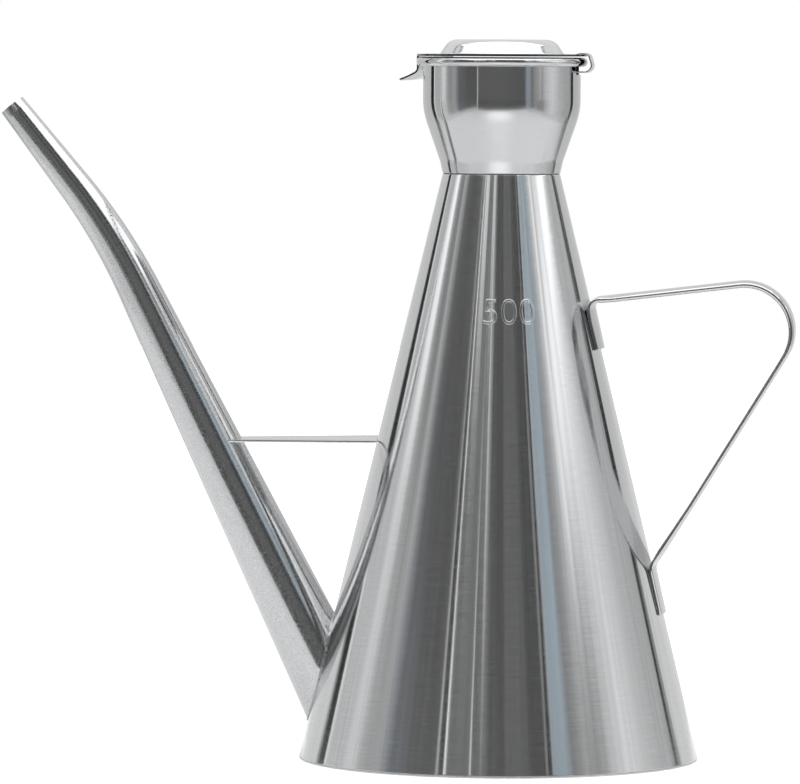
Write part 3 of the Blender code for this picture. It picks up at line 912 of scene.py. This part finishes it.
def handle_bow(place, corners):
    """How far the strip's sides drop from its middle; on the upper foot they rise."""
    side = sizes().strip_width / 2
    end, upper, peak, lower = (Vector(corner) for corner in corners[:4])
    if place.y <= lower.y:
        return foot_bow(place.y, side)
    high, low = peak.y - PEAK_ROUND / 2, peak.y - 2 * PEAK_ROUND
    crown = mix(0.03 * MM, 0.45 * MM, share_between(low, high, place.y))
    off_foot = share_between(lower.y, lower.y + 2 * side, place.y)
    crown = mix(foot_bow(lower.y, side), crown, off_foot)
    if place.y < end.y:
        return crown
    heel = 0.1 * MM * share_between(end.y, upper.y, place.y)
    over_bend = (peak - upper).normalized() - (end - upper).normalized()
    past_bend = (place - upper).dot(over_bend.normalized())
    on_run = share_between(-2.4 * MM, 2.4 * MM, past_bend)
    return mix(-foot_bow(place.y, side) - heel, crown, on_run)


def clear_of_cone(place):
    """From 0 where the strip is pressed on the cone to 1 where it stands clear."""
    off = math.hypot(place.x, place.y) - cone_radius(place.z)
    return share_between(1.5 * MM, 4 * MM, off)


class CRUET_OT_handle(bpy.types.Operator):
    """Add the strip handle"""

    bl_idname = "cruet.add_handle"
    bl_label = "Handle"

    def execute(self, context):
        size = sizes()
        corners = handle_corners()
        path = rounded_path(corners, (2.4 * MM, PEAK_ROUND, 3 * MM), 24)
        path = split_runs(held(path), 2.5 * MM)
        bows = [handle_bow(place, corners) for place in path]
        handle = start_drawing("grip")
        bowed_row(size.strip_width, bows[0], 16)
        sweep(path, [1] * len(path), bows)
        end_drawing(handle)
        # The rolled edges make the strip look thicker, inwards from its outer face
        rolled = size.strip_sheet + ROLLED_EDGE
        self.press_feet(handle)
        apply_modifier(
            handle, "SOLIDIFY", thickness=rolled, offset=size.strip_sheet / rolled - 1,
            use_even_offset=True, vertex_group="rolled", thickness_vertex_group=PRESSED_SHARE)
        self.round_long_edges(handle, rolled / 2 - 0.01 * MM)
        trim = cone_solid(0)
        cut(handle, trim)
        discard(trim)
        # Tumbled until bright: sharp thin lines of light and dark along its edges
        steel = grained("Polished stainless steel strip", 0.07, 5e-7, 1.8 / MM, 0.0, 0.9)
        finish_piece(handle, steel, "vessel", "handle")
        return {"FINISHED"}

    def press_feet(self, handle):
        """Marks how much of the rolled edge is left at each place: none on the pressed feet."""
        group = handle.vertex_groups.new(name="rolled")
        for vertex in handle.data.vertices:
            group.add([vertex.index], clear_of_cone(vertex.co), "REPLACE")

    def round_long_edges(self, handle, width):
        """Rounds the strip's edges, fully along the grip and slightly on the pressed feet."""
        bpy.ops.object.mode_set(mode="EDIT")
        bpy.ops.mesh.select_mode(type="EDGE")
        bpy.ops.mesh.select_all(action="DESELECT")
        bpy.ops.mesh.edges_select_sharp(sharpness=math.radians(50))
        bpy.ops.object.mode_set(mode="OBJECT")
        mesh = handle.data
        weights = mesh.attributes.new("bevel_weight_edge", "FLOAT", "EDGE")
        for edge in mesh.edges:
            if edge.select:
                start, end = (mesh.vertices[i].co for i in edge.vertices)
                weights.data[edge.index].value = mix(0.3, 1, clear_of_cone((start + end) / 2))
        apply_modifier(handle, "BEVEL", width=width, segments=6, limit_method="WEIGHT")


class CRUET_OT_mark(bpy.types.Operator):
    """Add the raised capacity mark on the cone"""

    bl_idname = "cruet.add_mark"
    bl_label = "Capacity Mark"

    def execute(self, context):
        bpy.ops.object.select_all(action="DESELECT")
        bpy.ops.object.text_add()
        text = bpy.context.object
        text.data.body = sizes().mark
        text.data.size = sizes().mark_height / CAP_SHARE
        text.data.align_x = "CENTER"
        text.data.align_y = "CENTER"
        text.data.offset = -0.2 * MM
        text.data.extrude = 0.06 * MM
        text.data.bevel_depth = 0.14 * MM
        text.data.bevel_resolution = 3
        text.data.resolution_u = 12
        bpy.ops.object.convert(target="MESH")
        mark = bpy.context.object
        mark.name = mark.data.name = "capacity_mark"
        # The flat text is laid round the cone
        for vertex in mark.data.vertices:
            z = MARK_Z + vertex.co.y
            radius = cone_radius(z) + vertex.co.z
            turn = CAMERA_YAW + MARK_TURN + vertex.co.x / cone_radius(MARK_Z)
            vertex.co = (radius * math.sin(turn), -radius * math.cos(turn), z)
        # The cone's own sheet, a little duller where it was pressed out
        steel = brushed_round("Brushed stainless steel, mark", 0.15, 1e-6, 0.02)
        finish_piece(mark, steel, "vessel", None, 60)
        return {"FINISHED"}


def spout_seam():
    """Points round the line where the spout's outside meets the cone's."""
    path, radii = spout_axis(0, run_in())
    along = (spout_root() - SPOUT_BEND).normalized()
    aside = Vector((-along.y, along.x))
    points = []
    for i in range(160):
        turn = math.tau * i / 160
        for place, radius in zip(reversed(path), reversed(radii)):
            x = place.x + aside.x * radius * math.cos(turn)
            z = place.y + aside.y * radius * math.cos(turn)
            y = radius * math.sin(turn)
            if math.hypot(x, y) > cone_radius(z):
                break
        # The last step outwards from inside the cone, halved until it lies on the cone
        inner, outer = 0.0, 4 * MM
        for _ in range(12):
            middle = (inner + outer) / 2
            if math.hypot(x + along.x * middle, y) > cone_radius(z + along.y * middle):
                inner = middle
            else:
                outer = middle
        points.append(Vector((x + along.x * inner, y, z + along.y * inner)))
    return points


class CRUET_OT_welds(bpy.types.Operator):
    """Add the bead round the spout's root"""

    bl_idname = "cruet.add_welds"
    bl_label = "Welds"

    def execute(self, context):
        points = spout_seam()
        curve = bpy.data.curves.new("spout_weld", "CURVE")
        curve.dimensions = "3D"
        curve.bevel_depth = sizes().bead_radius
        curve.bevel_resolution = 4
        spline = curve.splines.new("POLY")
        spline.points.add(len(points) - 1)
        spline.use_cyclic_u = True
        for i, (point, place) in enumerate(zip(spline.points, points)):
            point.co = (*place, 1)
            point.radius = 1 + 0.12 * math.sin(i * 1.7) + 0.15 * math.sin(i * 0.37)
        bead = bpy.data.objects.new("spout_weld", curve)
        context.scene.collection.objects.link(bead)
        select_only(bead)
        bpy.ops.object.convert(target="MESH")
        bead = context.object
        # A cooled weld pool: uneven and duller than the tube
        steel = grained("Welded stainless steel", 0.3, 6e-6, 1.5 / MM, 0.1, 0.75)
        finish_piece(bead, steel, "vessel")
        return {"FINISHED"}


# The stage

def glow_only(obj, name, material):
    """Names a plane and makes it a light that only reflections see."""
    obj.name = obj.data.name = name
    obj.data.materials.append(material)
    obj.visible_camera = False
    obj.visible_shadow = False


def panel(name, start, end, low, high, material):
    """An upright panel between two floor points, seen only in reflections."""
    turn = Matrix.Rotation(CAMERA_YAW, 2)
    start, end = turn @ Vector(start), turn @ Vector(end)
    middle = (start + end) / 2
    run = end - start
    bpy.ops.object.select_all(action="DESELECT")
    bpy.ops.mesh.primitive_plane_add(
        size=1, location=(middle.x, middle.y, (low + high) / 2),
        rotation=(math.pi / 2, 0, math.atan2(run.y, run.x)))
    obj = bpy.context.object
    obj.scale = (run.length, high - low, 1)
    glow_only(obj, name, material)
    return obj


# The tent's and the room's edges, and the heights at which a side cloth changes
TENT_HALF = 0.37
TENT_FRONT = -0.53
TENT_BACK = 0.235
TENT_TOP = 0.75
OPENING_TOP = 0.53
BACK_FOOT = 0.13
SIDE_FOOT = 0.045
SIDE_MIDDLE = 0.29
SIDE_TIER = 0.42
SIDE_ROD = 0.53
ROOM_FRONT = -1.3
ROOM_HALF = 0.95
FLOOR_SIZE = 3.0
POOL_Y = -0.37

# Levels along the side cloths by sight line, in degrees from the camera's side.  Their
# steps follow what the steel reflects.
LEFT_FOOT = [(34.9, 0.45), (52, 0.8), (113.4, 0.8), (115.6, 0.8), (115.9, 0.2), (122.4, 0.2)]
LEFT_LOW = [
    (34.9, 0.9), (35.7, 0.9), (35.9, 0.15), (50, 0.15), (57, "76797C"), (64, "7C7E81"),
    (68, "A2A6AA"), (72, 0.48), (78, 0.44), (84, 0.52), (88, 0.74), (93, 0.84), (98, 0.66),
    (113.4, 0.64), (113.8, 1.1), (115.6, 1.1), (115.9, 0.03), (122.4, 0.03)]
LEFT_HIGH = [
    (34.9, 0.9), (35.7, 0.9), (35.9, 0.11), (50, 0.12), (58, 0.13), (64, 0.15), (67, 0.21),
    (69, 0.34), (72, 0.5), (75, 0.5), (77, 0.28), (82, 0.27), (84, 0.42), (87, 0.5), (89, 1.2),
    (92, 1.4), (96, 1.3), (98, 0.8), (103, 0.6), (113.4, 0.62), (113.8, 1.1), (115.6, 1.1),
    (115.9, 0.02), (122.4, 0.02)]
LEFT_UPPER = [(34.9, 0.15), (60, 0.15), (76, 0.9), (122.4, 0.95)]
RIGHT_FOOT = [
    (34.9, 0.45), (52, 0.8), (92, 0.8), (102, 0.7), (113, 0.65), (116, 0.3), (122.4, 0.3)]
RIGHT_LOW = [
    (34.9, "959EA4"), (41, "A0AAB1"), (43, 0.24), (46, 0.28), (50, 0.38), (56, 0.32), (62, 0.38),
    (66, 0.6), (71, 0.75), (78, 0.92), (86, 0.8), (94, 0.68), (105, 0.56), (119, 0.52),
    (119.5, 0.03), (122.4, 0.03)]
RIGHT_MIDDLE = [
    (34.9, "ADBCC5"), (40, "B1BFC8"), (42.5, "95999E"), (45, 0.32), (50, 0.55), (54, 0.8),
    (56, 1.2), (58, 1.2), (58.6, 0.6), (60.5, 0.85), (62.5, 1.15), (66, 1.1), (71, 1.15),
    (77, 0.95), (86, 0.78), (89, 0.64), (91, 0.56), (100, 0.57), (112, 0.64), (115.3, 0.6),
    (116, 0.02), (121, 0.02), (122.4, 0.5)]
RIGHT_HIGH = [
    (34.9, "ADBCC5"), (46, "B1BFC8"), (50.5, "B8C2C8"), (51.5, 0.72), (54, 0.75), (56, 1.2),
    (58, 1.2), (58.6, 0.45), (60.5, 0.5), (62.5, 0.8), (66, 0.7), (71, 0.8), (86, 0.82),
    (89, 0.68), (91, 0.56), (100, 0.57), (112, 0.64), (115.3, 0.6), (116, 0.02), (121, 0.02),
    (122.4, 0.5)]
RIGHT_UPPER = [(34.9, 0.3), (48, 0.3), (54, 1.8), (105, 1.8), (110, 0.95), (122.4, 0.95)]
SIDE_TOP = [(34.9, 2.0), (122.4, 2.0)]

# Each side cloth from the floor up: its name, side, foot, top, low and high levels, and
# between which shares of its height the low ones turn into the high ones
TIERS = (
    ("left foot", -1, 0, SIDE_FOOT, LEFT_FOOT, LEFT_FOOT, (0, 1)),
    ("left", -1, SIDE_FOOT, SIDE_TIER, LEFT_LOW, LEFT_HIGH, (0.24, 0.53)),
    ("upper left", -1, SIDE_TIER, SIDE_ROD, LEFT_UPPER, LEFT_UPPER, (0, 1)),
    ("top left", -1, SIDE_ROD, TENT_TOP, SIDE_TOP, SIDE_TOP, (0, 1)),
    ("right foot", 1, 0, SIDE_FOOT, RIGHT_FOOT, RIGHT_FOOT, (0, 1)),
    ("right", 1, SIDE_FOOT, SIDE_MIDDLE, RIGHT_LOW, RIGHT_MIDDLE, (0.37, 0.8)),
    ("right middle", 1, SIDE_MIDDLE, SIDE_TIER, RIGHT_MIDDLE, RIGHT_HIGH, (0, 0.3)),
    ("upper right", 1, SIDE_TIER, SIDE_ROD, RIGHT_UPPER, RIGHT_UPPER, (0, 1)),
    ("top right", 1, SIDE_ROD, TENT_TOP, SIDE_TOP, SIDE_TOP, (0, 1)))

# Levels across the back cloth and along the slanting lamp, by share
BACK_AT_FLOOR = [(0, 0.3), (0.035, 0.3), (0.045, 0.78), (0.93, 0.78), (0.95, 0.35), (1, 0.35)]
BACK_LOW = [
    (0, 0.03), (0.035, 0.03), (0.045, 0.72), (0.5, 0.7), (0.93, 0.66), (0.94, 0.03), (1, 0.03)]
BACK_HIGH = [(0, 0.03), (0.035, 0.03), (0.045, 0.92), (0.5, 0.94), (1, 0.92)]
LAMP = [
    (0, 1.4), (0.06, 1.5), (0.07, 0.8), (0.11, 0.8), (0.12, 1.5), (0.3, 1.5), (0.31, 0.95),
    (0.34, 0.95), (0.35, 1.6), (0.55, 1.9), (1, 2.1)]

# Levels across the dark room by sight line, in degrees from straight towards the camera
ROOM_LEFT = [
    (-36, 0.05), (-32.2, 0.03), (-32, 2.1), (-31.3, 2.1), (-31.1, 0.17), (-20, 0.22), (-17, 0.22)]
ROOM_RIGHT = [
    (-7.6, 0.19), (-6, 0.115), (3.4, 0.095), (4.4, 0.16), (17, 0.16), (18.2, 0.1), (25, 0.085),
    (28.3, 0.06), (28.5, 0.5), (29.2, 0.5), (29.4, 0.01), (32, 0.01), (32.2, 0.6), (32.9, 0.6),
    (33.2, "AAB8C2"), (36, "AAB8C2")]
ROOM_UPPER_HIGH = [
    *ROOM_LEFT, (-11.2, 0.2), (-11, 1.2), (-10.4, 1.2), (-10.2, 0.4), (-8.6, 0.32), *ROOM_RIGHT]
ROOM_UPPER_LOW = [
    *ROOM_LEFT, (-16.8, 1.6), (-16.2, 1.6), (-16, 0.17), (-11, 0.17), *ROOM_RIGHT]
ROOM_LOWER = [
    (-36, 0.18), (-35.6, 0.18), (-35.4, 0.32), (-34, 0.32), (-33.8, 0.17), (-16, 0.175),
    (0, 0.18), (20, 0.16), (33, 0.15), (33.2, 0.26), (34.6, 0.26), (34.8, 0.2), (36, 0.24)]


def side_stops(stops):
    """Stops by sight line, in degrees from the camera's side, as shares of a side wall."""
    placed = []
    for degrees, level in stops:
        y = -TENT_HALF / math.tan(math.radians(degrees))
        placed.append((share_between(TENT_FRONT, TENT_BACK, y), level))
    return placed


def room_stops(stops):
    """Stops by sight line as shares of the room's width; the right is positive."""
    return [
        (0.5 - ROOM_FRONT * math.tan(math.radians(degrees)) / (2 * ROOM_HALF), level)
        for degrees, level in stops]


class CRUET_OT_stage(bpy.types.Operator):
    """Add the floor, the light tent, the room in front of it, the world and the camera"""

    bl_idname = "cruet.add_stage"
    bl_label = "Stage"

    def execute(self, context):
        self.set_world(context.scene)
        self.add_floor()
        self.add_tent()
        self.add_camera(context.scene)
        context.scene.view_settings.view_transform = "Standard"
        return {"FINISHED"}

    def set_world(self, scene):
        world = bpy.data.worlds.new("Pale studio")
        scene.world = world
        world.use_nodes = True
        tree = world.node_tree
        tree.nodes.clear()
        sky = add_node(
            tree, "ShaderNodeBackground", values={"Color": (1, 1, 1, 1), "Strength": 1.0})
        output = tree.nodes.new("ShaderNodeOutputWorld")
        tree.links.new(sky.outputs[0], output.inputs[0])

    def add_floor(self):
        centre = Vector((0, FLOOR_SIZE / 2 + TENT_FRONT, 0))
        bpy.ops.object.select_all(action="DESELECT")
        bpy.ops.mesh.primitive_plane_add(size=FLOOR_SIZE, location=centre)
        floor = bpy.context.object
        floor.name = floor.data.name = "floor"
        material, tree, output = new_material("White table, matt")
        matt = add_node(tree, "ShaderNodeBsdfDiffuse", values={"Color": (*colours().floor, 1)})
        # What the tent gives the table falls short of white, so the table glows by this much where
        # it is seen: all over for the camera, and in steel as a painted pool of light, most near
        # the tent's open front
        ray = add_node(tree, "ShaderNodeLightPath")
        seen = add_node(
            tree, "ShaderNodeMath", operation="ADD",
            links={0: ray.outputs["Is Glossy Ray"], 1: ray.outputs["Is Transmission Ray"]})
        place = add_node(tree, "ShaderNodeTexCoord").outputs["Object"]
        away = add_node(
            tree, "ShaderNodeVectorMath", operation="DISTANCE",
            values={1: Vector((0, POOL_Y, 0)) - centre}, links={0: place})
        # A painted pool of light that only reflections see, fading with distance from its middle
        pool = add_node(
            tree, "ShaderNodeMapRange", interpolation_type="SMOOTHSTEP",
            values={"From Min": 0.03, "From Max": 0.2, "To Min": 0.68, "To Max": 0.16},
            links={"Value": away.outputs["Value"]})
        seen = add_node(
            tree, "ShaderNodeMath", operation="MULTIPLY", links={0: seen, 1: pool})
        lift = add_node(
            tree, "ShaderNodeMath", operation="MULTIPLY_ADD", values={1: 0.5},
            links={0: ray.outputs["Is Camera Ray"], 2: seen})
        glow = add_node(
            tree, "ShaderNodeEmission", values={"Color": (1, 1, 1, 1)}, links={"Strength": lift})
        both = add_node(tree, "ShaderNodeAddShader", links={0: matt, 1: glow})
        tree.links.new(both.outputs[0], output.inputs[0])
        floor.data.materials.append(material)

    def add_tent(self):
        """A white tent, lit from above, with its front open towards a dark room."""
        for name, side, low, high, stops, high_stops, rise in TIERS:
            x = side * TENT_HALF
            panel("tent_" + name.replace(" ", "_"), (x, TENT_FRONT), (x, TENT_BACK), low, high,
                  glowing("Tent cloth, " + name, side_stops(stops), side_stops(high_stops), rise))
        # The tent's side rods show as thin dark lines
        for name, x in (("rod_left", 0.004 - TENT_HALF), ("rod_right", TENT_HALF - 0.004)):
            panel(name, (x, TENT_FRONT), (x, TENT_BACK), SIDE_ROD - 0.014, SIDE_ROD + 0.006,
                  glowing("Tent rod, " + name, even(0.06)))
        left, right = (-TENT_HALF, TENT_BACK), (TENT_HALF, TENT_BACK)
        panel("tent_back_foot", left, right, 0, BACK_FOOT,
              glowing("Tent cloth, back foot", BACK_AT_FLOOR, BACK_LOW, (0.5, 1)))
        panel("tent_back", left, right, BACK_FOOT, TENT_TOP,
              glowing("Tent cloth, back", BACK_LOW, BACK_HIGH, (0.12, 0.28)))
        # Two folds of the front cloth hang down into the opening
        for name, near, far in (("fold_wide", -29, -22.5), ("fold_narrow", -14.5, -11.5)):
            start, end = (-TENT_FRONT * math.tan(math.radians(degrees)) for degrees in (near, far))
            panel(name, (start, TENT_FRONT), (end, TENT_FRONT), 0.375, OPENING_TOP,
                  glowing("Tent cloth, " + name, even(1.1)))
        # The room beyond the opening
        upper_low, upper_high = room_stops(ROOM_UPPER_LOW), room_stops(ROOM_UPPER_HIGH)
        for name, low, high, stops, high_stops in (
                ("upper", 0.42, 1.42, upper_low, upper_high),
                ("top", 1.42, 2.2, even(0.12), None),
                ("lower", 0.14, 0.42, room_stops(ROOM_LOWER), None),
                ("foot", -0.7, 0.14, even(0.13), None)):
            panel("room_" + name, (-ROOM_HALF, ROOM_FRONT), (ROOM_HALF, ROOM_FRONT), low, high,
                  glowing("Dark room, " + name, stops, high_stops, (0.13, 0.2)))
        # A narrow lamp slants up along the right cloth
        x = TENT_HALF - 0.005
        lamp = panel("lamp", (x, -0.25), (x, 0.07), 0.243, 0.298, glowing("Strip lamp", LAMP))
        lamp.rotation_euler.rotate_axis("Z", math.radians(15))
        middle = Matrix.Rotation(CAMERA_YAW, 2) @ Vector((0, (TENT_FRONT + TENT_BACK) / 2))
        bpy.ops.object.select_all(action="DESELECT")
        bpy.ops.mesh.primitive_plane_add(
            size=1, location=(middle.x, middle.y, TENT_TOP), rotation=(0, 0, CAMERA_YAW))
        top = bpy.context.object
        top.scale = (2 * TENT_HALF, TENT_BACK - TENT_FRONT, 1)
        glow_only(top, "tent_top", glowing("Tent cloth, top", even(2.0)))

    def add_camera(self, scene):
        bpy.ops.object.camera_add()
        camera = bpy.context.object
        camera.name = "photo_camera"
        camera.data.lens = LENS
        camera.data.sensor_fit = "HORIZONTAL"
        camera.data.sensor_width = SENSOR
        stand = Matrix.Rotation(CAMERA_YAW, 4, "Z") @ Vector((0, -CAMERA_DISTANCE, CAMERA_HEIGHT))
        camera.matrix_world = (
            Matrix.Translation(stand)
            @ Matrix.Rotation(CAMERA_YAW + CAMERA_PAN, 4, "Z")
            @ Matrix.Rotation(math.pi / 2 - CAMERA_TILT, 4, "X")
            @ Matrix.Rotation(-CAMERA_ROLL, 4, "Z"))
        scene.camera = camera


class CRUET_PT_panel(bpy.types.Panel):
    """The sizes, colours and pieces of the oil cruet"""

    bl_idname = "CRUET_PT_panel"
    bl_label = "Oil Cruet"
    bl_space_type = "VIEW_3D"
    bl_region_type = "UI"
    bl_category = "Oil Cruet"

    def draw(self, context):
        layout = self.layout
        for group in (context.scene.cruet_sizes, context.scene.cruet_colours):
            box = layout.box()
            for name in group.__annotations__:
                box.prop(group, name)
        for operator in OPERATORS:
            layout.operator(operator.bl_idname)


OPERATORS = (
    CRUET_OT_base, CRUET_OT_cone, CRUET_OT_seam, CRUET_OT_cup, CRUET_OT_lid, CRUET_OT_spout,
    CRUET_OT_brace, CRUET_OT_handle, CRUET_OT_mark, CRUET_OT_welds, CRUET_OT_stage)
CLASSES = (CruetSizes, CruetColours, *OPERATORS, CRUET_PT_panel)


def register():
    for cls in CLASSES:
        bpy.utils.register_class(cls)
    bpy.types.Scene.cruet_sizes = PointerProperty(type=CruetSizes)
    bpy.types.Scene.cruet_colours = PointerProperty(type=CruetColours)


def unregister():
    del bpy.types.Scene.cruet_colours
    del bpy.types.Scene.cruet_sizes
    for cls in reversed(CLASSES):
        bpy.utils.unregister_class(cls)


def main():
    register()
    bpy.ops.cruet.add_base()
    bpy.ops.cruet.add_cone()
    bpy.ops.cruet.add_seam()
    bpy.ops.cruet.add_cup()
    bpy.ops.cruet.add_lid()
    bpy.ops.cruet.add_spout()
    bpy.ops.cruet.add_brace()
    bpy.ops.cruet.add_handle()
    bpy.ops.cruet.add_mark()
    bpy.ops.cruet.add_welds()
    bpy.ops.cruet.add_stage()


if __name__ == "__main__":
    main()
